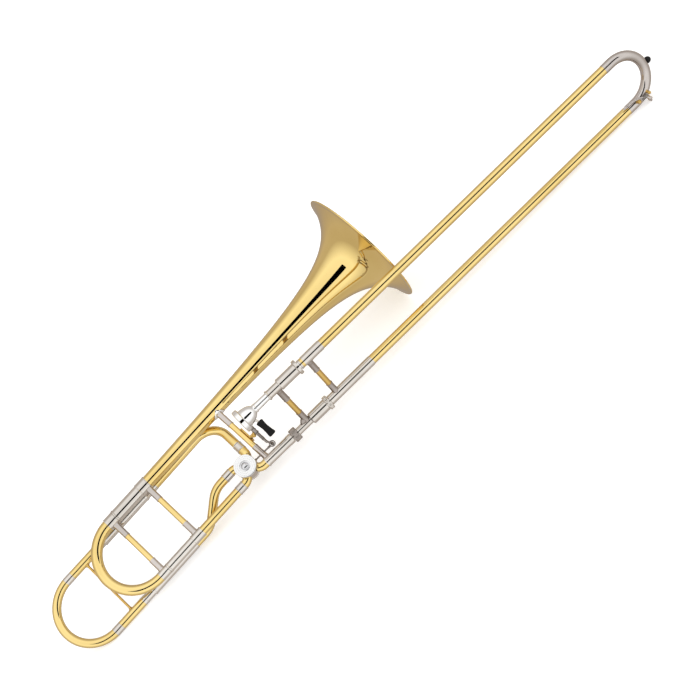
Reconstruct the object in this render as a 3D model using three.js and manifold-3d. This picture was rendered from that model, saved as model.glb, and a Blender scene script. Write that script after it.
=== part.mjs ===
// A tenor trombone with an F attachment: bell section, hand slide, two tuning slides,
// rotary valve with its thumb lever, and mouthpiece. Millimetres, +Z up, lying on a table.
import * as THREE from 'three';
import { mergeVertices } from 'three/addons/utils/BufferGeometryUtils.js';
import Module from 'manifold-3d';

const wasm = await Module();
wasm.setup();

const DEG = Math.PI / 180;

// How the instrument lies: the slide axis stays near +X and the whole rolls onto the bell rim.
// The origin is the middle of its footprint on the table.
const LYING_ROLL = 36.95 * DEG;
const LYING_PITCH = 1.29 * DEG;
const LYING_SHIFT = [-26.16, -103.59, 23.8];

// Hand slide. Its lower tube runs along the X axis; the upper tube is one spacing away.
const SLIDE_SPACING = 88.5;
const SLIDE_ANGLE = 54 * DEG;
const OUTER_TUBE_R = 7.95;
const OUTER_BORE_R = 7.5;
const INNER_TUBE_R = 7.4;
const INNER_BORE_R = 6.9;
const TUBE_END_X = 598.5;
const CROOK_CENTRE_X = 613.5;
const CROOK_R = SLIDE_SPACING / 2;
const CROOK_TUBE_R = 8.3;
const INNER_BRACE_X = -115.4;
const HAND_BRACE_X = -50.5;

// Bell section. It is tilted a little in its own plane, about the start of the slide receiver.
const BELL_TILT = 3.8 * DEG;
const RECEIVER_X = -200;
const TENON_R = 6.35;
const TENON_SOCKET_R = 6.42;
const BELL_V = 125.5;
const BELL_RIM_U = 350.5;
const BELL_STEM_U = -164.6;
const BELL_RIM_R = 108.8;
const BELL_SEAM_BACK = 70;
const BELL_WALL = 0.8;
const MAIN_LOWER_V = 3;
const MAIN_BOW_U = -246.3;
const F_UPPER_V = 121;
const F_LOWER_V = 4.4;
const F_Z = -22;
const F_BOW_U = -355;
const F_TUBE_R = 7.3;
const F_BORE_R = 6.7;

// Rotary valve: axis along Z of the bell section, four ports on the diagonals.
const ROTOR_U = -32.7;
const ROTOR_V = 18;
const PORT_OFFSET = 15;
const CASING_R = 17.2;
const CASING_HALF = 12.5;
const PLUG_R = 15.2;
const PLUG_BORE_R = 15.28;
const ROTOR_ARM_R = 12;
const ROTOR_ARM_ANGLE = 35 * DEG;

// Thumb lever on its shaft beside the bell brace.
const LEVER_U = 18;
const LEVER_Z = 6;
const LEVER_ARM = 30;
const LEVER_BALL_DU = 4;
const LEVER_BALL_V = 22.5;

const brass = new THREE.MeshStandardMaterial({ color: 0xe0b04a, roughness: 0.25, metalness: 1 });
const nickel = new THREE.MeshStandardMaterial({ color: 0xc9c3bc, roughness: 0.25, metalness: 1 });
const silver = new THREE.MeshStandardMaterial({ color: 0xe4e2de, roughness: 0.2, metalness: 1 });
const rubber = new THREE.MeshStandardMaterial({ color: 0x151515, roughness: 0.7, metalness: 0 });
const cork = new THREE.MeshStandardMaterial({ color: 0x8a6a48, roughness: 0.9, metalness: 0 });
const steel = new THREE.MeshStandardMaterial({ color: 0x8c8a88, roughness: 0.35, metalness: 1 });

// ---------- geometry helpers ----------

// Merges shared vertices, drops flat slivers and turns the faces outwards.
function closed(geometry) {
  const bare = geometry.clone();
  bare.deleteAttribute('normal');
  bare.deleteAttribute('uv');
  const merged = mergeVertices(bare, 1e-4);
  const position = merged.attributes.position;
  const source = merged.index.array;
  const faces = [];
  let volume = 0;
  const a = new THREE.Vector3();
  const b = new THREE.Vector3();
  const c = new THREE.Vector3();
  for (let i = 0; i < source.length; i += 3) {
    const [p, q, r] = [source[i], source[i + 1], source[i + 2]];
    if (p === q || q === r || r === p) continue;
    faces.push(p, q, r);
    a.fromBufferAttribute(position, p);
    b.fromBufferAttribute(position, q);
    c.fromBufferAttribute(position, r);
    volume += a.dot(b.cross(c));
  }
  if (volume < 0) faces.reverse();
  merged.setIndex(faces);
  merged.computeVertexNormals();
  return merged;
}

function toSolid(geometry) {
  const vertProperties = new Float32Array(geometry.attributes.position.array);
  const triVerts = new Uint32Array(geometry.index.array);
  return new wasm.Manifold(new wasm.Mesh({ numProp: 3, vertProperties, triVerts }));
}

function fromSolid(solid) {
  const mesh = solid.getMesh();
  const geometry = new THREE.BufferGeometry();
  geometry.setAttribute('position', new THREE.BufferAttribute(mesh.vertProperties, 3));
  geometry.setIndex(new THREE.BufferAttribute(mesh.triVerts, 1));
  geometry.computeVertexNormals();
  return geometry;
}

function joined(...pieces) {
  let solid = toSolid(pieces[0]);
  for (const piece of pieces.slice(1)) solid = solid.add(toSolid(piece));
  return fromSolid(solid);
}

function cut(piece, ...tools) {
  let solid = toSolid(piece);
  for (const tool of tools) solid = solid.subtract(toSolid(tool));
  return fromSolid(solid);
}

function common(piece, tool) {
  return fromSolid(toSolid(piece).intersect(toSolid(tool)));
}

// A ring or tube turned about +X from a closed outline of [x, radius] corners.
function turned(outline, sides, at = [0, 0, 0]) {
  const points = outline.map(([x, r]) => new THREE.Vector2(r, x));
  points.push(points[0].clone());
  const geometry = new THREE.LatheGeometry(points, sides);
  geometry.rotateZ(-Math.PI / 2);
  geometry.translate(...at);
  return closed(geometry);
}

function pipe(x0, x1, outer, inner, sides, at) {
  return turned([[x0, inner], [x0, outer], [x1, outer], [x1, inner]], sides, at);
}

// A solid turned about +X whose outline starts and ends on the axis.
function turnedSolid(outline, sides, at = [0, 0, 0]) {
  const points = outline.map(([x, r]) => new THREE.Vector2(r, x));
  const geometry = new THREE.LatheGeometry(points, sides);
  geometry.rotateZ(-Math.PI / 2);
  geometry.translate(...at);
  return closed(geometry);
}

function block(x0, x1, y0, y1, z0, z1) {
  const geometry = new THREE.BoxGeometry(x1 - x0, y1 - y0, z1 - z0);
  geometry.translate((x0 + x1) / 2, (y0 + y1) / 2, (z0 + z1) / 2);
  return closed(geometry);
}

// A round bar from p to q; its facets start on the same side for every bar of one direction.
function bar(p, q, radius, sides = 16) {
  const from = new THREE.Vector3(...p);
  const to = new THREE.Vector3(...q);
  const axis = to.clone().sub(from);
  const geometry = new THREE.CylinderGeometry(radius, radius, axis.length(), sides);
  geometry.translate(0, axis.length() / 2, 0);
  const turn = new THREE.Quaternion();
  turn.setFromUnitVectors(new THREE.Vector3(0, 1, 0), axis.clone().normalize());
  geometry.applyQuaternion(turn);
  geometry.translate(from.x, from.y, from.z);
  return closed(geometry);
}

function collar(p, q, outer, inner, sides) {
  const from = new THREE.Vector3(...p);
  const to = new THREE.Vector3(...q);
  const axis = to.clone().sub(from);
  const length = axis.length();
  const geometry = pipe(0, length, outer, inner, sides);
  const turn = new THREE.Quaternion();
  turn.setFromUnitVectors(new THREE.Vector3(1, 0, 0), axis.clone().normalize());
  geometry.applyQuaternion(turn);
  geometry.translate(from.x, from.y, from.z);
  return geometry;
}

// A path through stations, each with its own point and direction, so a bend gets its
// sections where it curves and a straight run gets none.
class StationPath extends THREE.Curve {
  constructor(points, tangents) {
    super();
    this.points = points;
    this.tangents = tangents;
  }

  getPointAt(u) {
    return this.points[Math.round(u * (this.points.length - 1))].clone();
  }

  getTangentAt(u) {
    return this.tangents[Math.round(u * (this.points.length - 1))].clone();
  }
}

// Straight runs through the corners, with a round bend of the given radius at each inner corner.
function bentPath(corners, radii, step = 18 * DEG) {
  const nodes = corners.map((corner) => new THREE.Vector3(...corner));
  const points = [nodes[0].clone()];
  const tangents = [nodes[1].clone().sub(nodes[0]).normalize()];
  for (let i = 1; i < nodes.length - 1; i += 1) {
    const inward = nodes[i].clone().sub(nodes[i - 1]).normalize();
    const outward = nodes[i + 1].clone().sub(nodes[i]).normalize();
    const angle = inward.angleTo(outward);
    const radius = radii[i - 1];
    const start = nodes[i].clone().addScaledVector(inward, -radius * Math.tan(angle / 2));
    const side = outward.clone().addScaledVector(inward, -outward.dot(inward)).normalize();
    const count = Math.max(2, Math.ceil(angle / step));
    for (let k = 0; k <= count; k += 1) {
      const turn = (angle * k) / count;
      const point = start.clone();
      point.addScaledVector(inward, radius * Math.sin(turn));
      point.addScaledVector(side, radius * (1 - Math.cos(turn)));
      const tangent = inward.clone().multiplyScalar(Math.cos(turn));
      tangent.addScaledVector(side, Math.sin(turn));
      points.push(point);
      tangents.push(tangent);
    }
  }
  points.push(nodes[nodes.length - 1].clone());
  tangents.push(nodes[nodes.length - 1].clone().sub(nodes[nodes.length - 2]).normalize());
  return new StationPath(points, tangents);
}

// A leg, a half turn and a leg back, all in the plane z: the bow of a slide, opening towards
// legX. It bends round centreX, towards the side away from legX.
function bowPath(legX, centreX, upperY, lowerY, z, step = 18 * DEG) {
  const radius = (upperY - lowerY) / 2;
  const away = centreX > legX ? 1 : -1;
  const points = [new THREE.Vector3(legX, upperY, z)];
  const tangents = [new THREE.Vector3(away, 0, 0)];
  const count = Math.round(Math.PI / step);
  for (let k = 0; k <= count; k += 1) {
    const turn = (Math.PI * k) / count;
    const x = centreX + away * radius * Math.sin(turn);
    const y = lowerY + radius + radius * Math.cos(turn);
    points.push(new THREE.Vector3(x, y, z));
    tangents.push(new THREE.Vector3(away * Math.cos(turn), -Math.sin(turn), 0));
  }
  points.push(new THREE.Vector3(legX, lowerY, z));
  tangents.push(new THREE.Vector3(-away, 0, 0));
  return new StationPath(points, tangents);
}

function circle(radius, sides) {
  const points = [];
  for (let k = 0; k < sides; k += 1) {
    const turn = (2 * Math.PI * k) / sides;
    points.push(new THREE.Vector2(radius * Math.cos(turn), radius * Math.sin(turn)));
  }
  return points;
}

// Sweeps a round section along a path; inner = 0 makes a solid rod.
function swept(path, outer, inner = 0, sides = 14) {
  const shape = new THREE.Shape(circle(outer, sides));
  if (inner > 0) shape.holes.push(new THREE.Path(circle(inner, sides)));
  const steps = path.points.length - 1;
  const geometry = new THREE.ExtrudeGeometry(shape, { steps, extrudePath: path, bevelEnabled: false });
  return closed(geometry);
}

// Widens a bow's tube steadily along its half turn, from 1 at the upper leg to endScale.
function tapered(geometry, centreX, upperY, lowerY, startScale, endScale) {
  const radius = (upperY - lowerY) / 2;
  const middle = (upperY + lowerY) / 2;
  const position = geometry.attributes.position;
  for (let i = 0; i < position.count; i += 1) {
    const x = position.getX(i);
    const y = position.getY(i);
    const z = position.getZ(i);
    const past = Math.min(x - centreX, 0);
    const turn = Math.atan2(-past, y - middle);
    const scale = startScale + (endScale - startScale) * (turn / Math.PI);
    const onLeg = x > centreX;
    const coreX = onLeg ? x : centreX - radius * Math.sin(turn);
    const coreY = onLeg ? (y > middle ? upperY : lowerY) : middle + radius * Math.cos(turn);
    const legScale = y > middle ? startScale : endScale;
    const use = onLeg ? legScale : scale;
    position.setXYZ(i, coreX + (x - coreX) * use, coreY + (y - coreY) * use, z * use);
  }
  return geometry;
}

// ---------- the scene graph ----------

const trombone = new THREE.Group();
trombone.rotation.set(LYING_ROLL, LYING_PITCH, 0, 'YXZ');
trombone.position.set(...LYING_SHIFT);

const bellSection = new THREE.Group();
bellSection.position.x = RECEIVER_X;
bellSection.rotation.z = BELL_TILT;
trombone.add(bellSection);

const slidePlane = new THREE.Group();
slidePlane.rotation.x = SLIDE_ANGLE;
trombone.add(slidePlane);

function add(group, name, geometry, material) {
  const mesh = new THREE.Mesh(geometry, material);
  mesh.name = name;
  group.add(mesh);
}

// ---------- bell ----------

function bellRadius(u) {
  const back = BELL_RIM_U - u;
  return Math.hypot(BELL_RIM_R * (1 + back / 30) ** -0.85, 4.8);
}

// Stations are distances back from the rim.
function bellOutline(offset, backs) {
  return backs.map((back) => {
    const u = BELL_RIM_U - back;
    const slope = (bellRadius(u + 0.5) - bellRadius(u - 0.5));
    const tilt = Math.hypot(1, slope);
    return [u - (offset * slope) / tilt, bellRadius(u) + offset / tilt];
  });
}

function makeBell() {
  const flareBacks = [2, 6, 12, 20, 32, 48, BELL_SEAM_BACK];
  const bead = [
    [BELL_RIM_U - 1.6, 109.0],
    [BELL_RIM_U - 0.6, 110.0],
    [BELL_RIM_U + 0.8, 110.0],
    [BELL_RIM_U + 1.6, 108.8],
    [BELL_RIM_U + 1.0, 107.4],
  ];
  const flare = [
    ...bellOutline(0, flareBacks).reverse(),
    ...bead,
    ...bellOutline(-BELL_WALL, flareBacks),
  ];
  add(bellSection, 'bell_flare', turned(flare, 32, [0, BELL_V, 0]), brass);

  const stemBacks = [BELL_SEAM_BACK + 0.25, 105, 155, 230, 340, BELL_RIM_U - BELL_STEM_U];
  const outside = bellOutline(0, stemBacks).reverse();
  const inside = bellOutline(-BELL_WALL, stemBacks);
  outside[0][0] = BELL_STEM_U;
  inside[inside.length - 1][0] = BELL_STEM_U;
  add(bellSection, 'bell_stem', turned([...outside, ...inside], 32, [0, BELL_V, 0]), brass);
}

function makeBellSideLegs() {
  const upper = [
    [-228, 9.8], [-228, 11.8], [-225, 11.8], [-225, 10.9], [-165, 10.9], [-165, 9.8],
  ];
  add(bellSection, 'main_outer_leg_upper', turned(upper, 20, [0, BELL_V, 0]), silver);
  add(bellSection, 'bell_ferrule', pipe(-174, -154, 11.9, 11.2, 20, [0, BELL_V, 0]), silver);
  const lower = [
    [-228, 7.2], [-228, 7.95], [-171, 7.95], [-171, 8.6], [-150.5, 8.6], [-150.5, 7.2],
  ];
  add(bellSection, 'main_outer_leg_lower', turned(lower, 20, [0, MAIN_LOWER_V, 0]), silver);
  const brace = bar([-161, MAIN_LOWER_V, 0], [-161, BELL_V, 0], 5.25, 16);
  const upperTool = turnedSolid([[-190, 0], [-190, 12.2], [-130, 12.2], [-130, 0]], 20, [0, BELL_V, 0]);
  const lowerTool = turnedSolid([[-190, 0], [-190, 8.9], [-130, 8.9], [-130, 0]], 20, [0, MAIN_LOWER_V, 0]);
  add(bellSection, 'leg_brace', cut(brace, upperTool, lowerTool), nickel);
}

// ---------- rotary valve ----------

function portDirection(quarter) {
  const turn = (45 + 90 * quarter) * DEG;
  return [Math.cos(turn), Math.sin(turn)];
}

function casingEnvelope(radius) {
  return bar([ROTOR_U, ROTOR_V, -30], [ROTOR_U, ROTOR_V, 30], radius, 36);
}

function makeRotorHousing() {
  const centre = [ROTOR_U, ROTOR_V];
  const wall = collar([...centre, -CASING_HALF], [...centre, CASING_HALF], CASING_R, PLUG_BORE_R, 36);
  const ports = [0, 1, 2, 3].map((quarter) => {
    const [du, dv] = portDirection(quarter);
    return bar([ROTOR_U, ROTOR_V, 0], [ROTOR_U + 30 * du, ROTOR_V + 30 * dv, 0], 7.1, 20);
  });
  add(bellSection, 'rotor_casing', cut(wall, ...ports), nickel);

  const capOutline = [
    [12.8, 0], [12.8, 18.0], [13.3, 18.5], [15.2, 18.5], [16.0, 17.8],
    [16.2, 8.0], [17.4, 7.0], [18.0, 5.5], [18.0, 0],
  ];
  const cap = turnedSolid(capOutline, 28);
  cap.rotateY(-Math.PI / 2);
  cap.translate(ROTOR_U, ROTOR_V, 0);
  const well = bar([ROTOR_U, ROTOR_V, 10], [ROTOR_U, ROTOR_V, 14.6], 3.06, 32);
  add(bellSection, 'rotor_cap', cut(closed(cap), well), silver);

  const plate = collar([...centre, -15.3], [...centre, -12.8], CASING_R, 3.06, 32);
  add(bellSection, 'rotor_back_plate', plate, nickel);
}

function makeRotor() {
  const body = bar([ROTOR_U, ROTOR_V, -12.3], [ROTOR_U, ROTOR_V, 12.3], PLUG_R, 36);
  const spindle = bar([ROTOR_U, ROTOR_V, -15.6], [ROTOR_U, ROTOR_V, 14.3], 3.0, 32);
  const passage = (first, second) => {
    const [au, av] = portDirection(first);
    const [bu, bv] = portDirection(second);
    const start = [ROTOR_U + 20 * au, ROTOR_V + 20 * av, 0];
    const end = [ROTOR_U + 20 * bu, ROTOR_V + 20 * bv, 0];
    return swept(bentPath([start, [ROTOR_U, ROTOR_V, 0], end], [15.5], 15 * DEG), 5.4, 0, 14);
  };
  add(bellSection, 'rotor_plug', cut(joined(body, spindle), passage(0, 1), passage(2, 3)), nickel);

  const pinU = ROTOR_U + ROTOR_ARM_R * Math.cos(ROTOR_ARM_ANGLE);
  const pinV = ROTOR_V + ROTOR_ARM_R * Math.sin(ROTOR_ARM_ANGLE);
  const hub = bar([ROTOR_U, ROTOR_V, -18.6], [ROTOR_U, ROTOR_V, -15.9], 5, 24);
  const web = new THREE.BoxGeometry(ROTOR_ARM_R, 5, 2.7);
  web.translate(ROTOR_ARM_R / 2, 0, 0);
  web.rotateZ(ROTOR_ARM_ANGLE);
  web.translate(ROTOR_U, ROTOR_V, -17.25);
  const boss = bar([pinU, pinV, -18.6], [pinU, pinV, -15.9], 3.2, 16);
  const pin = bar([pinU, pinV, -28], [pinU, pinV, -17], 1.6, 12);
  add(bellSection, 'rotor_arm', joined(hub, closed(web), boss, pin), steel);
}

// ---------- fixed tubes of the bell section ----------

function makeValveTubes() {
  const envelope = casingEnvelope(CASING_R + 0.3);
  const left = ROTOR_U - PORT_OFFSET;
  const right = ROTOR_U + PORT_OFFSET;
  const above = ROTOR_V + PORT_OFFSET;

  const mainPath = bentPath([
    [-150.2, MAIN_LOWER_V, 0], [left, MAIN_LOWER_V, 0], [ROTOR_U - 10, ROTOR_V - 10, 0],
  ], [14]);
  add(bellSection, 'main_tube', cut(swept(mainPath, 7.4, 6.7), envelope), brass);
  add(bellSection, 'main_tube_ferrule', pipe(-69, -54.5, 8.2, 7.7, 20, [0, MAIN_LOWER_V, 0]), silver);

  const crossPath = bentPath([
    [-172.9, F_LOWER_V, F_Z], [-140, F_LOWER_V, F_Z], [-92, above, 0],
    [left, above, 0], [ROTOR_U - 10, ROTOR_V + 10, 0],
  ], [40, 40, 14]);
  add(bellSection, 'crossover_tube', cut(swept(crossPath, F_TUBE_R, F_BORE_R), envelope), brass);
  add(bellSection, 'crossover_ferrule', pipe(-69, -54.5, 8.1, 7.6, 20, [0, above, 0]), silver);

  const neckTop = [-16.2, F_UPPER_V + 1.5, F_Z];
  const neckFoot = [right, above, 0];
  const neckPath = bentPath([
    [-151.2, F_UPPER_V, F_Z], neckTop, neckFoot, [ROTOR_U + 10, ROTOR_V + 10, 0],
  ], [38, 14]);
  add(bellSection, 'neck_tube', cut(swept(neckPath, F_TUBE_R, F_BORE_R), envelope), brass);
  const along = (v) => {
    const part = (neckTop[1] - v) / (neckTop[1] - neckFoot[1]);
    return neckTop.map((value, i) => value + (neckFoot[i] - value) * part);
  };
  add(bellSection, 'neck_ferrule', collar(along(58), along(44), 8.1, 7.65, 20), silver);

  const elbowPath = bentPath([
    [ROTOR_U + 10, ROTOR_V - 10, 0], [-15.75, 1.05, 0], [-6.3, 0.42, 0],
  ], [14]);
  add(bellSection, 'receiver_elbow', cut(swept(elbowPath, F_TUBE_R, F_BORE_R), envelope), brass);
  add(trombone, 'slide_receiver', pipe(-206, -150, 8.0, TENON_SOCKET_R, 32), nickel);
}

function makeFLegs() {
  const upper = [
    [-272, 7.1], [-272, 8.3], [-269, 8.3], [-269, 7.9], [-178, 7.9], [-178, 8.7],
    [-173, 8.7], [-173, 7.6], [-151.5, 7.6], [-151.5, 6.7], [-176, 6.7], [-176, 7.1],
  ];
  add(bellSection, 'f_outer_leg_upper', turned(upper, 20, [0, F_UPPER_V, F_Z]), silver);
  const lower = [
    [-272, 7.1], [-272, 8.3], [-269, 8.3], [-269, 7.9], [-173.2, 7.9], [-173.2, 7.1],
  ];
  add(bellSection, 'f_outer_leg_lower', turned(lower, 20, [0, F_LOWER_V, F_Z]), silver);
}

// ---------- bell brace and thumb lever ----------

function makeBellBrace() {
  const bellTool = turnedSolid([
    [-40, 0], [-40, bellRadius(-40) + 0.3], [0, bellRadius(0) + 0.3],
    [40, bellRadius(40) + 0.3], [40, 0],
  ], 24, [0, BELL_V, 0]);
  const flange = new THREE.CylinderGeometry(11.5, 10, 6, 24);
  flange.scale(1, 1, 0.7);
  flange.translate(0, 113.5, 0);
  const stem = bar([0, 86.2, 0], [0, 116, 0], 5.1);
  const upper = cut(joined(closed(flange), stem), bellTool);
  add(bellSection, 'bell_brace_upper', upper, silver);
  add(bellSection, 'bell_brace_tube', bar([0, 33.2, 0], [0, 85.9, 0], 4.7), brass);
  const axis = [Math.cos(BELL_TILT), -Math.sin(BELL_TILT)];
  const receiverTool = bar([-30 * axis[0], -30 * axis[1], 0], [30 * axis[0], 30 * axis[1], 0], 8.3, 32);
  add(bellSection, 'bell_brace_lower', cut(bar([0, 0, 0], [0, 32.9, 0], 5.5), receiverTool), silver);
}

function makeLever() {
  const shaftBore = bar([LEVER_U, 30, LEVER_Z], [LEVER_U, 60, LEVER_Z], 2.26, 24);
  const plate = block(5.0, 7.6, 41, 69, -4.5, 4.5);
  const post = block(6.5, 16, 44, 50, 0, 7.5);
  const barrel = bar([LEVER_U, 43, LEVER_Z], [LEVER_U, 51, LEVER_Z], 3.7, 24);
  add(bellSection, 'lever_bracket', cut(joined(plate, post, barrel), shaftBore), brass);

  const ballZ = LEVER_Z - Math.sqrt(LEVER_ARM ** 2 - LEVER_BALL_DU ** 2);
  const ball = [LEVER_U + LEVER_BALL_DU, LEVER_BALL_V, ballZ];
  const shaft = bar([LEVER_U, 20.5, LEVER_Z], [LEVER_U, 56, LEVER_Z], 2.2, 24);
  const topCollar = bar([LEVER_U, 51.3, LEVER_Z], [LEVER_U, 56, LEVER_Z], 3.6, 24);
  const arm = bar([LEVER_U, LEVER_BALL_V, LEVER_Z], ball, 1.6, 12);
  const knob = new THREE.SphereGeometry(3.0, 16, 10);
  knob.translate(...ball);
  const tail = swept(bentPath([
    [LEVER_U, 54, LEVER_Z], [22, 58, 9], [31.5, 59.5, 10.8], [33, 49, 10.5],
  ], [4, 4], 30 * DEG), 1.7, 0, 10);
  const shoe = block(29, 37, 26, 50, 10.2, 12.1);
  const lever = joined(shaft, topCollar, arm, closed(knob), tail, shoe);
  add(bellSection, 'lever_shaft', lever, steel);

  const outline = new THREE.Shape();
  outline.moveTo(-5, -16);
  outline.lineTo(5, -16);
  outline.quadraticCurveTo(7, -15.5, 6.6, -12);
  outline.quadraticCurveTo(4.8, 2, 6.3, 12);
  outline.quadraticCurveTo(6.4, 16, 3.5, 16);
  outline.lineTo(-3.5, 16);
  outline.quadraticCurveTo(-6.4, 16, -6.3, 12);
  outline.quadraticCurveTo(-4.8, 2, -6.6, -12);
  outline.quadraticCurveTo(-7, -15.5, -5, -16);
  const pad = new THREE.ExtrudeGeometry(outline, { depth: 3.2, bevelEnabled: false, curveSegments: 5 });
  pad.translate(33.1, 35, 12.4);
  add(bellSection, 'thumb_paddle', closed(pad), rubber);

  const pinU = ROTOR_U + ROTOR_ARM_R * Math.cos(ROTOR_ARM_ANGLE);
  const pinV = ROTOR_V + ROTOR_ARM_R * Math.sin(ROTOR_ARM_ANGLE);
  const peakV = ROTOR_V + ROTOR_ARM_R;
  const ring = bar([ball[0], ball[1], ballZ - 1.5], [ball[0], ball[1], ballZ + 1.5], 5.3, 20);
  const ringHole = bar([ball[0], ball[1], ballZ - 5], [ball[0], ball[1], ballZ + 5], 3.8, 20);
  const eye = block(pinU - 4.4, pinU + 4.4, pinV - 4.4, peakV + 4.4, ballZ - 1.5, ballZ + 1.5);
  const slot = block(pinU - 2.5, pinU + 2.5, pinV - 2.5, peakV + 2.5, ballZ - 5, ballZ + 5);
  const rod = bar([ball[0] - 4.6, ball[1], ballZ], [pinU + 3.5, pinV, ballZ], 1.5, 12);
  add(bellSection, 'link_rod', cut(joined(ring, eye, rod), ringHole, slot), steel);
}

// ---------- main tuning slide ----------

function makeMainTuningSlide() {
  const upper = [
    [-246, 9.0], [-246, 11.0], [-228.5, 11.0], [-228.5, 9.72], [-166, 9.72], [-166, 9.0],
  ];
  add(bellSection, 'main_inner_leg_upper', turned(upper, 20, [0, BELL_V, 0]), silver);
  const lower = [
    [-246, 6.5], [-246, 8.1], [-228.5, 8.1], [-228.5, 7.12], [-166, 7.12], [-166, 6.5],
  ];
  add(bellSection, 'main_inner_leg_lower', turned(lower, 20, [0, MAIN_LOWER_V, 0]), silver);
  const path = bowPath(MAIN_BOW_U + 0.01, MAIN_BOW_U, BELL_V, MAIN_LOWER_V, 0);
  const bow = tapered(swept(path, 9, 8.2), MAIN_BOW_U, BELL_V, MAIN_LOWER_V, 9.7 / 9, 8.0 / 9);
  add(bellSection, 'main_bow', closed(bow), brass);
  const brace = bar([-237, MAIN_LOWER_V, 0], [-237, BELL_V, 0], 5.1);
  const upperTool = turnedSolid([[-260, 0], [-260, 11.3], [-210, 11.3], [-210, 0]], 20, [0, BELL_V, 0]);
  const lowerTool = turnedSolid([[-260, 0], [-260, 8.4], [-210, 8.4], [-210, 0]], 20, [0, MAIN_LOWER_V, 0]);
  add(bellSection, 'main_bow_brace', cut(brace, upperTool, lowerTool), nickel);
}

// ---------- F tuning slide ----------

function makeFTuningSlide() {
  for (const [side, v] of [['upper', F_UPPER_V], ['lower', F_LOWER_V]]) {
    const leg = pipe(-288.7, -180, 7.02, 6.4, 20, [0, v, F_Z]);
    add(bellSection, `f_inner_leg_${side}`, leg, silver);
  }
  const path = bowPath(-289, F_BOW_U, F_UPPER_V, F_LOWER_V, F_Z);
  add(bellSection, 'f_bow', swept(path, F_TUBE_R, F_BORE_R), brass);
  const brace = bar([-316, F_LOWER_V, F_Z], [-316, F_UPPER_V, F_Z], 2.2, 12);
  const tool = (v) => turnedSolid([[-340, 0], [-340, 7.6], [-290, 7.6], [-290, 0]], 16, [0, v, F_Z]);
  add(bellSection, 'f_bow_brace', cut(brace, tool(F_UPPER_V), tool(F_LOWER_V)), nickel);
}

// ---------- inner hand slide ----------

function braceSet(name, x, lowerTool, upperTool, splits, radius) {
  const [first, second] = splits;
  const lower = cut(bar([x, 0, 0], [x, first, 0], radius), lowerTool);
  const upper = cut(bar([x, second, 0], [x, SLIDE_SPACING, 0], radius), upperTool);
  add(slidePlane, `${name}_lower`, lower, silver);
  add(slidePlane, `${name}_tube`, bar([x, first + 0.3, 0], [x, second - 0.3, 0], radius - 0.5), brass);
  add(slidePlane, `${name}_upper`, upper, silver);
}

function makeInnerSlide() {
  const top = [0, SLIDE_SPACING, 0];
  add(slidePlane, 'slide_tenon', pipe(-186, -109.8, TENON_R, 5.6, 32), nickel);
  const nut = [
    [-149.6, TENON_SOCKET_R], [-149.6, 10.6], [-148.4, 11.5], [-138.8, 11.5],
    [-137.6, 10.6], [-137.6, TENON_SOCKET_R],
  ];
  add(slidePlane, 'lock_nut', turned(nut, 32), nickel);

  const receiver = [
    [-134, 6.5], [-134, 8.5], [-131, 8.5], [-131, 7.3], [-109.8, 7.3], [-109.8, 6.5],
  ];
  add(slidePlane, 'mouthpiece_receiver', turned(receiver, 24, top), nickel);
  const upperBarrel = [
    [-109.5, 7.65], [-109.5, 9.2], [-108.5, 10], [-72.8, 10], [-72.8, 12.4], [-72, 13],
    [-67.4, 13], [-66.6, 12.4], [-66.6, 8.6], [-100, 8.6], [-101, 7.65],
  ];
  add(slidePlane, 'cork_barrel_upper', turned(upperBarrel, 24, top), nickel);
  const lowerBarrel = [
    [-109.5, 7.65], [-109.5, 8.8], [-107.5, 9.9], [-75.8, 9.9], [-75.8, 8.6], [-100, 8.6], [-101, 7.65],
  ];
  add(slidePlane, 'cork_barrel_lower', turned(lowerBarrel, 24), nickel);
  add(slidePlane, 'inner_tube_upper', pipe(-109, 592, INNER_TUBE_R, INNER_BORE_R, 20, top), silver);
  add(slidePlane, 'inner_tube_lower', pipe(-109, 592, INNER_TUBE_R, INNER_BORE_R, 20), silver);

  const lowerTool = turnedSolid([[-150, 0], [-150, TENON_R + 0.3], [-80, TENON_R + 0.3], [-80, 0]], 32);
  const upperTool = turnedSolid([[-150, 0], [-150, 7.6], [-80, 7.6], [-80, 0]], 24, top);
  const gap = turnedSolid([[-109.8, 0], [-109.8, 12], [-80, 12], [-80, 0]], 24);
  const gapTop = turnedSolid([[-109.8, 0], [-109.8, 12], [-80, 12], [-80, 0]], 24, top);
  braceSet(
    'inner_brace', INNER_BRACE_X, joined(lowerTool, gap), joined(upperTool, gapTop), [26.2, 58.6], 5.3,
  );
}

function makeSlideLock() {
  const ring = [
    [-75.5, 7.55], [-75.5, 11.9], [-74.7, 12.6], [-69, 12.6], [-68.2, 11.9], [-68.2, 7.55],
  ];
  add(slidePlane, 'slide_lock_ring', turned(ring, 32), nickel);
}

// ---------- outer hand slide ----------

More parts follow.
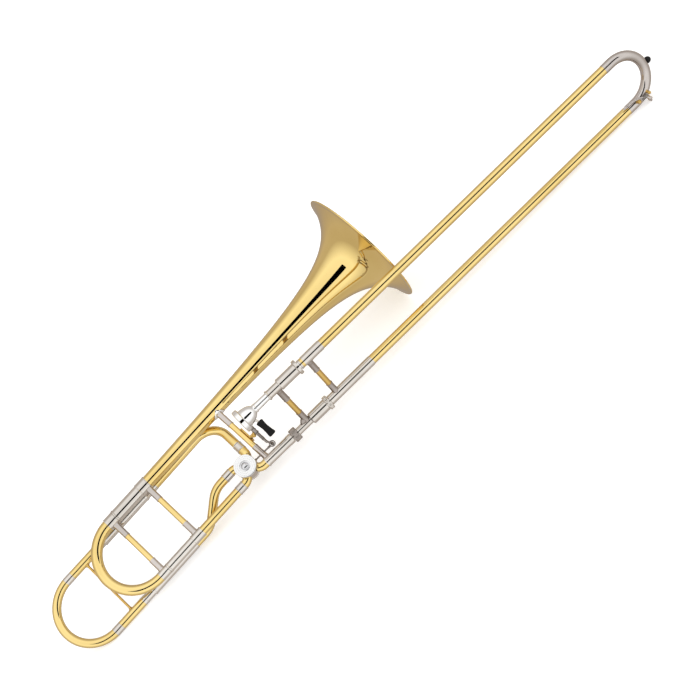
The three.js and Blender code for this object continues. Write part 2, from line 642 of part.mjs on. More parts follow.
function makeOuterSlide() {
  const top = [0, SLIDE_SPACING, 0];
  const sleeveR = 8.5;
  add(slidePlane, 'outer_tube_upper', pipe(-65, TUBE_END_X, OUTER_TUBE_R, OUTER_BORE_R, 20, top), brass);
  add(slidePlane, 'outer_tube_lower', pipe(-67.9, TUBE_END_X, OUTER_TUBE_R, OUTER_BORE_R, 20), brass);
  add(slidePlane, 'sleeve_upper', pipe(-57.4, -19, sleeveR, 8.1, 20, top), nickel);
  add(slidePlane, 'sleeve_lower', pipe(-67.9, 24.7, sleeveR, 8.1, 20), nickel);
  const tool = (at) => turnedSolid([[-80, 0], [-80, sleeveR + 0.3], [0, sleeveR + 0.3], [0, 0]], 20, at);
  braceSet('hand_brace', HAND_BRACE_X, tool([0, 0, 0]), tool(top), [26, 59.3], 5.2);

  const path = bowPath(TUBE_END_X + 0.3, CROOK_CENTRE_X, SLIDE_SPACING, 0, 0, 15 * DEG);
  add(slidePlane, 'slide_crook', swept(path, CROOK_TUBE_R, OUTER_BORE_R), nickel);
  const end = CROOK_CENTRE_X + CROOK_R + CROOK_TUBE_R + 0.3;
  const bumper = [
    [end, 0], [end, 4.6], [end + 1.5, 5.6], [end + 5, 5.3], [end + 7.6, 3.6], [end + 8.6, 0],
  ];
  add(slidePlane, 'slide_bumper', turnedSolid(bumper, 20, [0, CROOK_R, 0]), rubber);
}

// ---------- water key on the lower end of the crook ----------

const KEY_PIVOT = [-7.5, 12];
const NIPPLE_X = 634;

function crookEnvelope(radius) {
  const path = bowPath(TUBE_END_X, CROOK_CENTRE_X, SLIDE_SPACING, 0, 0, 15 * DEG);
  const geometry = swept(path, radius);
  geometry.rotateX(SLIDE_ANGLE);
  return closed(geometry);
}

function makeWaterKey() {
  const turn = Math.asin((NIPPLE_X - CROOK_CENTRE_X) / CROOK_R);
  const rise = CROOK_R * (1 - Math.cos(turn));
  const nippleY = rise * Math.cos(SLIDE_ANGLE);
  const nippleZ = rise * Math.sin(SLIDE_ANGLE);
  const [pivotY, pivotZ] = KEY_PIVOT;
  const inner = crookEnvelope(CROOK_TUBE_R + 0.3);

  const nipple = bar([NIPPLE_X, nippleY, nippleZ], [NIPPLE_X, -11, nippleZ], 2.9, 16);
  const saddleBox = block(611, 641, -13, 2.5, -3, 13);
  const saddle = common(crookEnvelope(CROOK_TUBE_R + 1.6), saddleBox);
  const nearPost = bar([616, 0, 0], [616, pivotY, pivotZ], 2.4, 12);
  const farPost = bar([637.5, 4, 5.5], [637.5, pivotY, pivotZ], 2.4, 12);
  const nearBall = new THREE.SphereGeometry(2.7, 12, 8);
  nearBall.translate(616, pivotY, pivotZ);
  const farBall = new THREE.SphereGeometry(2.7, 12, 8);
  farBall.translate(637.5, pivotY, pivotZ);
  const pin = bar([614, pivotY, pivotZ], [640, pivotY, pivotZ], 1.2, 16);
  const bracket = joined(saddle, nipple, nearPost, farPost, closed(nearBall), closed(farBall), pin);
  add(trombone, 'water_key_bracket', cut(bracket, inner), brass);

  const barrel = bar([619.2, pivotY, pivotZ], [634.2, pivotY, pivotZ], 2.7, 16);
  const bore = bar([600, pivotY, pivotZ], [650, pivotY, pivotZ], 1.27, 16);
  const thumb = swept(bentPath([
    [623, pivotY + 0.5, pivotZ + 1], [615, -1, 13.2], [603, 3, 13.2], [592, 5, 13.4],
  ], [12, 14], 20 * DEG), 1.6, 0, 10);
  const tab = new THREE.SphereGeometry(1, 14, 8);
  tab.scale(7, 4.6, 1.3);
  tab.translate(593, 5, 13.6);
  const hook = swept(bentPath([
    [630, pivotY - 0.5, pivotZ], [632, -15.6, 9.5], [NIPPLE_X, -15.6, nippleZ - 3],
  ], [5], 20 * DEG), 1.7, 0, 10);
  const cup = bar([NIPPLE_X, -14.6, nippleZ], [NIPPLE_X, -13.4, nippleZ], 4, 16);
  const lever = cut(joined(barrel, thumb, closed(tab), hook, cup), bore);
  add(trombone, 'water_key_lever', lever, nickel);
  const pad = bar([NIPPLE_X, -13.2, nippleZ], [NIPPLE_X, -11.2, nippleZ], 3.6, 16);
  add(trombone, 'water_key_pad', pad, cork);
}

// ---------- mouthpiece ----------

function makeMouthpiece() {
  const outline = [
    [-192, 16.4], [-192, 18.6], [-190.6, 19.7], [-185, 19.7], [-183.4, 18.8], [-182.8, 15.4],
    [-176, 14.6], [-170, 12.3], [-165, 9.2], [-162, 7.1], [-150, 6.8], [-134.4, 6.3],
    [-112, 5.8], [-112, 5.1], [-134, 4.2], [-154, 3.4], [-160, 3.4], [-166, 6.4],
    [-173, 10], [-182, 12.3], [-189, 13.1], [-191.4, 14.4],
  ];
  add(slidePlane, 'mouthpiece', turned(outline, 20, [0, SLIDE_SPACING, 0]), silver);
}

makeBell();
makeBellSideLegs();
makeRotorHousing();
makeRotor();
makeValveTubes();
makeFLegs();
makeBellBrace();
makeLever();
makeMainTuningSlide();
makeFTuningSlide();
makeInnerSlide();
makeSlideLock();
makeOuterSlide();
makeWaterKey();
makeMouthpiece();

export default trombone;
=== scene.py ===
import math

import bmesh
import bpy
from mathutils import Matrix, Vector


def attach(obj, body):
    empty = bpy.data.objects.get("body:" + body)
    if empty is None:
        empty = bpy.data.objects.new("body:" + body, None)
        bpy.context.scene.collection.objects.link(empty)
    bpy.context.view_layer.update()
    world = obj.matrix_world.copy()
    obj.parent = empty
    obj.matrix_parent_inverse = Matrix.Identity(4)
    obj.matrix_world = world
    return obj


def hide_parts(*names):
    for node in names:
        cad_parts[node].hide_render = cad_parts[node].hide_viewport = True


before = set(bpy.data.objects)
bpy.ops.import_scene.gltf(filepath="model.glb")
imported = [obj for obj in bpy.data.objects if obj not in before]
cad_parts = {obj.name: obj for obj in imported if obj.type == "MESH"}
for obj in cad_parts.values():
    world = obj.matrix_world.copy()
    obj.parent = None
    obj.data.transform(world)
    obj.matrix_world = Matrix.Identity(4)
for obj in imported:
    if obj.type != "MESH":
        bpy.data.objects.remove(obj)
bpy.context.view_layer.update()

# ---------- places and driving dimensions, in millimetres, with angles in radians ----------

ROLL = math.radians(36.95)
PITCH = math.radians(1.29)
SHIFT = Vector((-26.16, -103.59, 23.8))
SLIDE_ANGLE = math.radians(54)
BELL_TILT = math.radians(3.8)
RECEIVER_X = -200
SPACING = 88.5
BELL_V = 125.5
BELL_RIM_U = 350.5
BELL_STEM_U = -164.6
MAIN_V = 3
F_UPPER_V = 121
F_LOWER_V = 4.4
F_Z = -22
MAIN_BOW_U = -246.3
F_BOW_U = -355
ROTOR_U = -32.7
ROTOR_V = 18
PORT_OFFSET = 15
PORT_REACH = 12.1
PORT_BEND = 14
PORT_LEFT = ROTOR_U - PORT_OFFSET
PORT_RIGHT = ROTOR_U + PORT_OFFSET
PORT_ABOVE = ROTOR_V + PORT_OFFSET
STOP_ARM_REACH = 12
STOP_ARM_TURN = math.radians(35)
LEVER_U = 18
LEVER_Z = 6
LEVER_BALL_V = 22.5
LEVER_BALL_FORWARD = 4
LEVER_CRANK = 30
BELL_RIM_RADIUS = 108.8
BELL_FLARE_LENGTH = 30
BELL_FLARE_POWER = -0.85
BELL_CORE_RADIUS = 4.8
BELL_WALL = 0.7
BRANCH_RADIUS = 7.3
BRANCH_BORE = 6.7
SLIDE_TUBE_RADIUS = 7.95
SLIDE_TUBE_BORE = 7.5
TUBE_END_X = 598.5
CROOK_X = 613.5
NIPPLE_X = 634
KEY_PIVOT = (-7.5, 12)

LYING = Matrix.Translation(SHIFT) @ Matrix.Rotation(PITCH, 4, "Y") @ Matrix.Rotation(ROLL, 4, "X")
BELL = LYING @ Matrix.Translation((RECEIVER_X, 0, 0)) @ Matrix.Rotation(BELL_TILT, 4, "Z")
SLIDE = LYING @ Matrix.Rotation(SLIDE_ANGLE, 4, "X")
TO_METRES = Matrix.Scale(0.001, 4)

STOP_PIN = (
    ROTOR_U + STOP_ARM_REACH * math.cos(STOP_ARM_TURN),
    ROTOR_V + STOP_ARM_REACH * math.sin(STOP_ARM_TURN),
    0,
)
LEVER_BALL = (
    LEVER_U + LEVER_BALL_FORWARD,
    LEVER_BALL_V,
    LEVER_Z - math.sqrt(LEVER_CRANK ** 2 - LEVER_BALL_FORWARD ** 2),
)


# ---------- materials ----------

def new_material(name):
    """A new material with its nodes and links."""
    material = bpy.data.materials.new(name)
    material.use_nodes = True
    return material, material.node_tree.nodes, material.node_tree.links


def noise(nodes, links, scale, detail=4.0, stretch=None):
    """A noise texture in the piece's own coordinates, with its grain drawn out by stretch."""
    coords = nodes.new("ShaderNodeTexCoord")
    texture = nodes.new("ShaderNodeTexNoise")
    texture.inputs["Scale"].default_value = scale
    texture.inputs["Detail"].default_value = detail
    if stretch is None:
        links.new(coords.outputs["Object"], texture.inputs["Vector"])
    else:
        mapping = nodes.new("ShaderNodeMapping")
        mapping.inputs["Scale"].default_value = stretch
        links.new(coords.outputs["Object"], mapping.inputs["Vector"])
        links.new(mapping.outputs["Vector"], texture.inputs["Vector"])
    return texture


def ramp(nodes, links, source, low, high, start=0.35, end=0.65):
    """Turns a grey value into a colour between low and high."""
    node = nodes.new("ShaderNodeValToRGB")
    node.color_ramp.elements[0].position = start
    node.color_ramp.elements[0].color = (*low, 1)
    node.color_ramp.elements[1].position = end
    node.color_ramp.elements[1].color = (*high, 1)
    links.new(source, node.inputs["Fac"])
    return node


def metal(name, low, high, rough, rough_spread, coat=0.0, bump=0.02):
    """Polished sheet metal: slow colour drift, fine rubbing marks in the roughness and a faint ripple."""
    material, nodes, links = new_material(name)
    shader = nodes["Principled BSDF"]
    shader.inputs["Metallic"].default_value = 1.0
    shader.inputs["Coat Weight"].default_value = coat
    shader.inputs["Coat Roughness"].default_value = 0.06
    drift = noise(nodes, links, 9.0)
    colour = ramp(nodes, links, drift.outputs["Fac"], low, high)
    links.new(colour.outputs["Color"], shader.inputs["Base Color"])
    marks = noise(nodes, links, 160.0, 6.0, (1, 6, 6))
    spread = nodes.new("ShaderNodeMapRange")
    spread.inputs["To Min"].default_value = rough
    spread.inputs["To Max"].default_value = rough + rough_spread
    links.new(marks.outputs["Fac"], spread.inputs["Value"])
    links.new(spread.outputs["Result"], shader.inputs["Roughness"])
    ripple = noise(nodes, links, 55.0, 2.0)
    relief = nodes.new("ShaderNodeBump")
    relief.inputs["Strength"].default_value = bump
    relief.inputs["Distance"].default_value = 0.0006
    links.new(ripple.outputs["Fac"], relief.inputs["Height"])
    links.new(relief.outputs["Normal"], shader.inputs["Normal"])
    return material


def dull(name, low, high, rough, scale, bump):
    """A non-metal with a fine grain: moulded rubber or cork."""
    material, nodes, links = new_material(name)
    shader = nodes["Principled BSDF"]
    grain = noise(nodes, links, scale, 8.0)
    colour = ramp(nodes, links, grain.outputs["Fac"], low, high, 0.3, 0.7)
    links.new(colour.outputs["Color"], shader.inputs["Base Color"])
    shader.inputs["Roughness"].default_value = rough
    shader.inputs["Specular IOR Level"].default_value = 0.25
    relief = nodes.new("ShaderNodeBump")
    relief.inputs["Strength"].default_value = bump
    relief.inputs["Distance"].default_value = 0.0004
    links.new(grain.outputs["Fac"], relief.inputs["Height"])
    links.new(relief.outputs["Normal"], shader.inputs["Normal"])
    return material


BRASS = metal("lacquered_brass", (0.79, 0.59, 0.22), (0.86, 0.66, 0.27), 0.02, 0.02, coat=0.1, bump=0.002)
BRASS_DEEP = metal("brass_fittings", (0.62, 0.41, 0.12), (0.70, 0.47, 0.15), 0.12, 0.08, bump=0.006)
NICKEL = metal("nickel_silver", (0.62, 0.58, 0.53), (0.72, 0.68, 0.63), 0.02, 0.03, bump=0.002)
NICKEL_WARM = metal("nickel_crook", (0.50, 0.46, 0.43), (0.60, 0.55, 0.52), 0.06, 0.06, bump=0.004)
NICKEL_DULL = metal("nickel_sockets", (0.36, 0.32, 0.29), (0.44, 0.39, 0.36), 0.16, 0.10, bump=0.008)
PLATE = metal("silver_plate", (0.80, 0.80, 0.79), (0.88, 0.88, 0.87), 0.02, 0.02, bump=0.002)
SATIN = metal("satin_plate", (0.78, 0.78, 0.78), (0.84, 0.84, 0.84), 0.22, 0.05, bump=0.0015)
STEEL_BRIGHT = metal("bright_steel", (0.60, 0.60, 0.61), (0.70, 0.70, 0.71), 0.04, 0.03, bump=0.002)
STEEL = metal("grey_steel", (0.26, 0.24, 0.22), (0.36, 0.33, 0.31), 0.16, 0.10)
RUBBER = dull("black_rubber", (0.002, 0.002, 0.002), (0.008, 0.008, 0.008), 0.55, 900.0, 0.2)
CORK = dull("cork", (0.28, 0.17, 0.08), (0.52, 0.36, 0.20), 0.9, 700.0, 0.5)


# ---------- mesh helpers: every piece is made in its space in mm and stored in metres ----------

def finish_mesh(name, bm, space, material, body, nodes=(), sharp=32):
    """Stores a mesh as a piece that rides on a body; edges bent by more than sharp degrees stay crisp."""
    bmesh.ops.remove_doubles(bm, verts=bm.verts, dist=1e-4)
    bmesh.ops.recalc_face_normals(bm, faces=bm.faces)
    limit = math.radians(sharp)
    for edge in bm.edges:
        if len(edge.link_faces) == 2:
            edge.smooth = edge.calc_face_angle(0) < limit
    for face in bm.faces:
        face.smooth = True
    bm.transform(TO_METRES @ space)
    mesh = bpy.data.meshes.new(name)
    bm.to_mesh(mesh)
    bm.free()
    mesh.materials.append(material)
    piece = bpy.data.objects.new(name, mesh)
    bpy.context.scene.collection.objects.link(piece)
    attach(piece, body)
    if nodes:
        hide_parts(*nodes)
    return piece


def ring_mesh(rings, close_rings):
    """Joins equal rings of points into a skin; close_rings joins the last ring to the first."""
    bm = bmesh.new()
    grid = [[bm.verts.new(point) for point in ring] for ring in rings]
    count = len(grid[0])
    pairs = list(zip(grid, grid[1:]))
    if close_rings:
        pairs.append((grid[-1], grid[0]))
    for one, two in pairs:
        for k in range(count):
            bm.faces.new((one[k], one[(k + 1) % count], two[(k + 1) % count], two[k]))
    if not close_rings:
        bm.faces.new(grid[0])
        bm.faces.new(grid[-1])
    return bm


def lathe(name, outline, space, material, body, nodes=(), at=(0, 0), sides=64, wave=None):
    """Turns an outline of (x, radius) about +X through at = (y, z). wave(angle, x, r) changes a radius."""
    rings = []
    for x, radius in outline:
        ring = []
        for k in range(sides):
            turn = 2 * math.pi * k / sides
            r = wave(turn, x, radius) if wave else radius
            ring.append((x, at[0] + r * math.cos(turn), at[1] + r * math.sin(turn)))
        rings.append(ring)
    bm = ring_mesh(rings, True)
    return finish_mesh(name, bm, space, material, body, nodes)


def pipe(name, x0, x1, outer, inner, space, material, body, nodes, at=(0, 0)):
    """A plain tube along X with softened outer rims."""
    edge = min(0.25, (outer - inner) / 3)
    outline = [
        (x0, inner), (x0, outer - edge), (x0 + edge, outer),
        (x1 - edge, outer), (x1, outer - edge), (x1, inner),
    ]
    return lathe(name, outline, space, material, body, nodes, at)


def along(space, p, q):
    """A space whose X axis runs from p to q, with p as its origin."""
    start = Vector(p)
    turn = (Vector(q) - start).to_track_quat("X", "Z").to_matrix().to_4x4()
    return space @ Matrix.Translation(start) @ turn


def span(p, q):
    """The distance from p to q."""
    return (Vector(q) - Vector(p)).length


def bent(corners, radii):
    """(point, direction) stations along straight runs with round bends at the inner corners."""
    step = math.radians(5)
    points = [Vector(c) for c in corners]
    stations = [(points[0], (points[1] - points[0]).normalized())]
    for i in range(1, len(points) - 1):
        inward = (points[i] - points[i - 1]).normalized()
        outward = (points[i + 1] - points[i]).normalized()
        angle = inward.angle(outward)
        radius = radii[i - 1]
        start = points[i] - inward * radius * math.tan(angle / 2)
        side = (outward - inward * outward.dot(inward)).normalized()
        count = max(3, math.ceil(angle / step))
        for k in range(count + 1):
            turn = angle * k / count
            point = start + inward * radius * math.sin(turn) + side * radius * (1 - math.cos(turn))
            stations.append((point, inward * math.cos(turn) + side * math.sin(turn)))
    stations.append((points[-1], (points[-1] - points[-2]).normalized()))
    return stations


def bow(leg_x, centre_x, upper_y, lower_y, z=0.0):
    """Stations out along one leg, round a half circle and back along the other leg."""
    count = 40
    radius = (upper_y - lower_y) / 2
    away = 1 if centre_x > leg_x else -1
    stations = [(Vector((leg_x, upper_y, z)), Vector((away, 0, 0)))]
    for k in range(count + 1):
        turn = math.pi * k / count
        x = centre_x + away * radius * math.sin(turn)
        y = lower_y + radius + radius * math.cos(turn)
        stations.append((Vector((x, y, z)), Vector((away * math.cos(turn), -math.sin(turn), 0))))
    stations.append((Vector((leg_x, lower_y, z)), Vector((-away, 0, 0))))
    return stations


def section(point, across, beside, radius, sides):
    """A round ring of points in the plane of two directions."""
    ring = []
    for k in range(sides):
        turn = 2 * math.pi * k / sides
        ring.append(point + across * radius * math.cos(turn) + beside * radius * math.sin(turn))
    return ring


def sweep(name, stations, outer, inner, space, material, body, nodes=(), end_outer=None, sides=40):
    """Carries a round section along stations. inner = 0 makes a rod; end_outer tapers it."""
    direction = stations[0][1]
    guide = Vector((0, 0, 1)) if abs(direction.z) < 0.9 else Vector((0, 1, 0))
    across = (guide - direction * guide.dot(direction)).normalized()
    outer_rings = []
    inner_rings = []
    last = len(stations) - 1
    for i, (point, tangent) in enumerate(stations):
        across = (across - tangent * across.dot(tangent)).normalized()
        beside = tangent.cross(across)
        radius = outer if end_outer is None else outer + (end_outer - outer) * i / last
        outer_rings.append(section(point, across, beside, radius, sides))
        if inner > 0:
            thin = radius - (outer - inner)
            inner_rings.append(section(point, across, beside, thin, sides))
    rings = outer_rings + inner_rings[::-1]
    bm = ring_mesh(rings, inner > 0)
    return finish_mesh(name, bm, space, material, body, nodes)


def ball(name, centre, radius, space, material, body, squash=(1, 1, 1)):
    """A round knob, or a tab where squash stretches it."""
    bm = bmesh.new()
    bmesh.ops.create_uvsphere(bm, u_segments=32, v_segments=20, radius=radius)
    bmesh.ops.scale(bm, vec=squash, verts=bm.verts)
    bmesh.ops.translate(bm, vec=centre, verts=bm.verts)
    return finish_mesh(name, bm, space, material, body, sharp=60)


def slab(name, corners, depth, space, material, body, nodes=(), bevel=0.6):
    """A flat plate: an outline in the space's x, y at z = 0, given a depth along z and rounded edges."""
    bm = bmesh.new()
    face = bm.faces.new([bm.verts.new((x, y, 0)) for x, y in corners])
    pushed = bmesh.ops.extrude_face_region(bm, geom=[face])
    lifted = [v for v in pushed["geom"] if isinstance(v, bmesh.types.BMVert)]
    bmesh.ops.translate(bm, vec=(0, 0, depth), verts=lifted)
    steep = 0.9
    rims = [e for e in bm.edges if len(e.link_faces) == 2 and e.calc_face_angle(0) > steep]
    bmesh.ops.bevel(bm, geom=rims, offset=bevel, segments=3, affect="EDGES")
    return finish_mesh(name, bm, space, material, body, nodes, sharp=50)


def spiral(name, p, q, radius, wire, turns, space, material, body):
    """A coil spring wound round the line from p to q."""
    line = along(Matrix.Identity(4), p, q)
    length = span(p, q)
    rise = length / (2 * math.pi * turns)
    stations = []
    count = turns * 16
    for k in range(count + 1):
        turn = 2 * math.pi * turns * k / count
        point = Vector((length * k / count, radius * math.cos(turn), radius * math.sin(turn)))
        way = Vector((rise, -radius * math.sin(turn), radius * math.cos(turn))).normalized()
        stations.append((line @ point, line.to_3x3() @ way))
    return sweep(name, stations, wire, 0, space, material, body, sides=10)


def beaded(x0, x1, outer, inner, bead=0.5):
    """The outline of a drawn ferrule: a plain band with a raised bead at each end."""
    return [
        (x0, inner), (x0, outer - 0.2), (x0 + 0.4, outer + bead), (x0 + 1.4, outer + bead),
        (x0 + 1.9, outer), (x1 - 1.9, outer), (x1 - 1.4, outer + bead), (x1 - 0.4, outer + bead),
        (x1, outer - 0.2), (x1, inner),
    ]


def knurl(count, depth, x0, x1):
    """A wave for lathe: count grooves round the stretch from x0 to x1."""
    def wave(turn, x, radius):
        inside = x0 < x < x1
        return radius + (depth * math.cos(count * turn) if inside else 0)
    return wave


# ---------- bell ----------

def bell_radius(back):
    """The bell's outer radius at a distance behind its rim."""
    flare = BELL_RIM_RADIUS * (1 + back / BELL_FLARE_LENGTH) ** BELL_FLARE_POWER
    return math.hypot(flare, BELL_CORE_RADIUS)


def make_bell():
    """The bell in one skin, with its wall and the wire bead round its rim."""
    steps = 90
    first = 2
    probe = 0.3
    bead_points = 10
    bead_radius = 1.5
    outside = []
    inside = []
    length = BELL_RIM_U - BELL_STEM_U
    for k in range(steps + 1):
        back = first + (length - first) * (k / steps) ** 1.9
        slope = (bell_radius(back - probe) - bell_radius(back + probe)) / (2 * probe)
        tilt = math.hypot(1, slope)
        u = BELL_RIM_U - back
        outside.append((u, bell_radius(back)))
        inside.append((u + BELL_WALL * slope / tilt, bell_radius(back) - BELL_WALL / tilt))
    bead = []
    for k in range(bead_points):
        turn = math.pi * (1.15 - 1.35 * k / (bead_points - 1))
        u = BELL_RIM_U - 0.2 + bead_radius * math.cos(turn)
        bead.append((u, 108.0 + bead_radius * math.sin(turn)))
    outline = outside[::-1] + bead + inside
    nodes = ["bell_flare", "bell_stem"]
    lathe("bell_body", outline, BELL, BRASS, "bell_section", nodes, (BELL_V, 0), sides=160)


def make_fixed_legs():
    upper = [
        (-228, 9.8), (-228, 11.5), (-227.4, 11.9), (-225.8, 11.9), (-225.2, 11.0), (-223, 10.9),
        (-165, 10.9), (-165, 9.8),
    ]
    at = (BELL_V, 0)
    lathe("tuning_leg_upper", upper, BELL, NICKEL, "bell_section", ["main_outer_leg_upper"], at)
    ferrule = beaded(-174, -154, 11.6, 10.6)
    lathe("bell_ferrule_band", ferrule, BELL, NICKEL, "bell_section", ["bell_ferrule"], at)
    lower = [
        (-228, 7.2), (-228, 8.3), (-227.4, 8.6), (-225.8, 8.6), (-225.2, 8.0), (-171.5, 7.95),
        (-171, 8.7), (-169.6, 8.9), (-168.8, 8.5), (-152.8, 8.5), (-152, 8.9), (-150.5, 8.7), (-150.5, 7.2),
    ]
    at = (MAIN_V, 0)
    lathe("tuning_leg_lower", lower, BELL, NICKEL, "bell_section", ["main_outer_leg_lower"], at)


def crossbar(name, space, x, lower, upper, splits, radius, body, nodes, socket_metal, tube_metal):
    """A brace between two tubes: a socket at each end and a tube between them, split at splits."""
    first, second = splits
    line = along(space, (x, lower, 0), (x, upper, 0))
    a = first - lower
    b = second - lower
    end = upper - lower
    foot = radius * 1.12
    socket = [
        (-2.5, 0), (-2.5, foot), (0.2, foot), (1.6, radius * 1.05), (4, radius), (a - 1.4, radius),
        (a - 1.0, radius + 0.35), (a - 0.2, radius + 0.35), (a, radius - 0.1), (a, 0),
    ]
    lathe(f"{name}_socket_lower", socket, line, socket_metal, body, nodes[:1], sides=40)
    middle = [(a - 1, 0), (a - 1, radius - 0.5), (b + 1, radius - 0.5), (b + 1, 0)]
    lathe(f"{name}_barrel", middle, line, tube_metal, body, nodes[1:2], sides=40)
    cap = [
        (b, 0), (b, radius - 0.1), (b + 0.2, radius + 0.35), (b + 1.0, radius + 0.35), (b + 1.4, radius),
        (end - 4, radius), (end - 1.6, radius * 1.05), (end - 0.2, foot), (end + 2.5, foot), (end + 2.5, 0),
    ]
    lathe(f"{name}_socket_upper", cap, line, socket_metal, body, nodes[2:3], sides=40)


def make_leg_brace():
    body = "bell_section"
    crossbar("leg_brace", BELL, -161, 11.8, 113.5, (33, 90), 5.3, body, ["leg_brace"], NICKEL_WARM, BRASS)


# ---------- rotary valve ----------

def make_valve():
    body = "bell_section"
    line = along(BELL, (ROTOR_U, ROTOR_V, 0), (ROTOR_U, ROTOR_V, 1))
    wall = [
        (-12.5, 15.3), (-12.5, 16.8), (-11.6, 17.6), (-9.6, 17.6), (-9.0, 17.0), (9.0, 17.0),
        (9.6, 17.6), (11.6, 17.6), (12.5, 16.8), (12.5, 15.3),
    ]
    lathe("valve_casing", wall, line, NICKEL, body, ["rotor_casing"], sides=96)
    cap = [
        (12.8, 0), (12.8, 17.6), (13.3, 18.4), (15.0, 18.5), (15.8, 18.1), (16.1, 17.2), (16.1, 15.6),
        (15.9, 15.4), (15.9, 15.1), (16.1, 14.9), (16.1, 12.2), (15.9, 12.0), (15.9, 11.7), (16.1, 11.5),
        (16.1, 8.8), (15.8, 8.5), (14.7, 8.4), (14.7, 0),
    ]
    lathe("valve_cap", cap, line, SATIN, body, ["rotor_cap"], sides=96)
    button = [(14.6, 0), (14.6, 7.2), (16.4, 7.2), (16.6, 6.9), (16.6, 6.2), (16.2, 5.7)]
    dome = 8.5
    dome_edge = 5.5
    dome_top = 17.9
    rings = 12
    for k in range(rings + 1):
        radius = dome_edge * (1 - k / rings)
        button.append((dome_top - dome + math.sqrt(dome ** 2 - radius ** 2), radius))
    lathe("valve_button", button, line, STEEL_BRIGHT, body)
    plate = [
        (-15.3, 3.06), (-15.3, 15.6), (-14.6, 17.0), (-12.9, 17.2), (-12.8, 16.6), (-12.8, 3.06),
    ]
    lathe("valve_back_plate", plate, line, NICKEL, body, ["rotor_back_plate"], sides=96)
    screw = [(-19.6, 0), (-19.6, 2.6), (-18.9, 3.0), (-18.6, 3.0), (-18.6, 0)]
    lathe("rotor_screw", screw, line, STEEL, "rotor", sides=24)


def make_stop_arm():
    """The rotor's arm behind the valve: round at the hub and round at the pin."""
    hub_steps = 16
    pin_steps = 12
    hub_radius = 5
    tip_radius = 3.1
    pin = Vector(STOP_PIN)
    outline = []
    for k in range(hub_steps + 1):
        a = STOP_ARM_TURN + math.pi / 2 + math.pi * k / hub_steps
        outline.append((ROTOR_U + hub_radius * math.cos(a), ROTOR_V + hub_radius * math.sin(a)))
    for k in range(pin_steps + 1):
        a = STOP_ARM_TURN - math.pi / 2 + math.pi * k / pin_steps
        outline.append((pin.x + tip_radius * math.cos(a), pin.y + tip_radius * math.sin(a)))
    place = BELL @ Matrix.Translation((0, 0, -18.6))
    slab("stop_arm", outline, 2.6, place, STEEL, "rotor", ["rotor_arm"], bevel=0.4)
    post = along(BELL, (pin.x, pin.y, -17), (pin.x, pin.y, -28))
    outline = [(0, 0), (0, 1.6), (10.2, 1.6), (11, 1.1), (11, 0)]
    lathe("stop_arm_pin", outline, post, STEEL, "rotor", sides=24)


def make_main_branch():
    """The tube from the lower leg of the main tuning slide to the valve."""
    body = "bell_section"
    port = (ROTOR_U - PORT_REACH, ROTOR_V - PORT_REACH, 0)
    main = bent([(-150.8, MAIN_V, 0), (PORT_LEFT, MAIN_V, 0), port], [PORT_BEND])
    sweep("main_branch", main, 7.4, 6.7, BELL, BRASS, body, ["main_tube"])
    band = beaded(-69, -54.5, 7.85, 7.4, 0.35)
    lathe("main_branch_ferrule", band, BELL, NICKEL, body, ["main_tube_ferrule"], (MAIN_V, 0))


def make_crossover_branch():
    """The tube from the lower leg of the F slide up to the valve."""
    body = "bell_section"
    cross = bent([
        (-172.9, F_LOWER_V, F_Z), (-140, F_LOWER_V, F_Z), (-92, PORT_ABOVE, 0),
        (PORT_LEFT, PORT_ABOVE, 0), (ROTOR_U - PORT_REACH, ROTOR_V + PORT_REACH, 0),
    ], [40, 40, PORT_BEND])
    sweep("crossover_branch", cross, BRANCH_RADIUS, BRANCH_BORE, BELL, BRASS, body, ["crossover_tube"])
    band = beaded(-69, -54.5, 7.75, BRANCH_RADIUS, 0.35)
    lathe("crossover_branch_ferrule", band, BELL, NICKEL, body, ["crossover_ferrule"], (PORT_ABOVE, 0))


def make_neck_branch():
    """The tube from the valve up to the upper leg of the F slide, under the bell's stem."""
    body = "bell_section"
    top = Vector((-16.2, F_UPPER_V + 1.5, F_Z))
    foot = Vector((PORT_RIGHT, PORT_ABOVE, 0))
    port = (ROTOR_U + PORT_REACH, ROTOR_V + PORT_REACH, 0)
    neck = bent([(-151.6, F_UPPER_V, F_Z), top, foot, port], [38, PORT_BEND])
    sweep("neck_branch", neck, BRANCH_RADIUS, BRANCH_BORE, BELL, BRASS, body, ["neck_tube"])
    p = top.lerp(foot, (top.y - 58) / (top.y - foot.y))
    q = top.lerp(foot, (top.y - 44) / (top.y - foot.y))
    band = beaded(0, span(p, q), 7.8, BRANCH_RADIUS, 0.35)
    lathe("neck_branch_ferrule", band, along(BELL, p, q), NICKEL, body, ["neck_ferrule"])


def make_receiver():
    """The elbow out of the valve and the tube that takes the hand slide."""
    body = "bell_section"
    port = (ROTOR_U + PORT_REACH, ROTOR_V - PORT_REACH, 0)
    elbow = bent([port, (-15.75, 1.05, 0), (-5.5, 0.37, 0)], [PORT_BEND])
    sweep("receiver_branch", elbow, 7.35, BRANCH_BORE, BELL, BRASS, body, ["receiver_elbow"])
    collar = [
        (-206.4, 6.5), (-206.4, 8.0), (-205.6, 8.5), (-203.8, 8.5), (-203, 8.0), (-160, 8.0),
        (-158.8, 8.4), (-151, 8.4), (-150, 8.1), (-150, 6.5),
    ]
    lathe("slide_receiver_tube", collar, LYING, NICKEL, body, ["slide_receiver"])


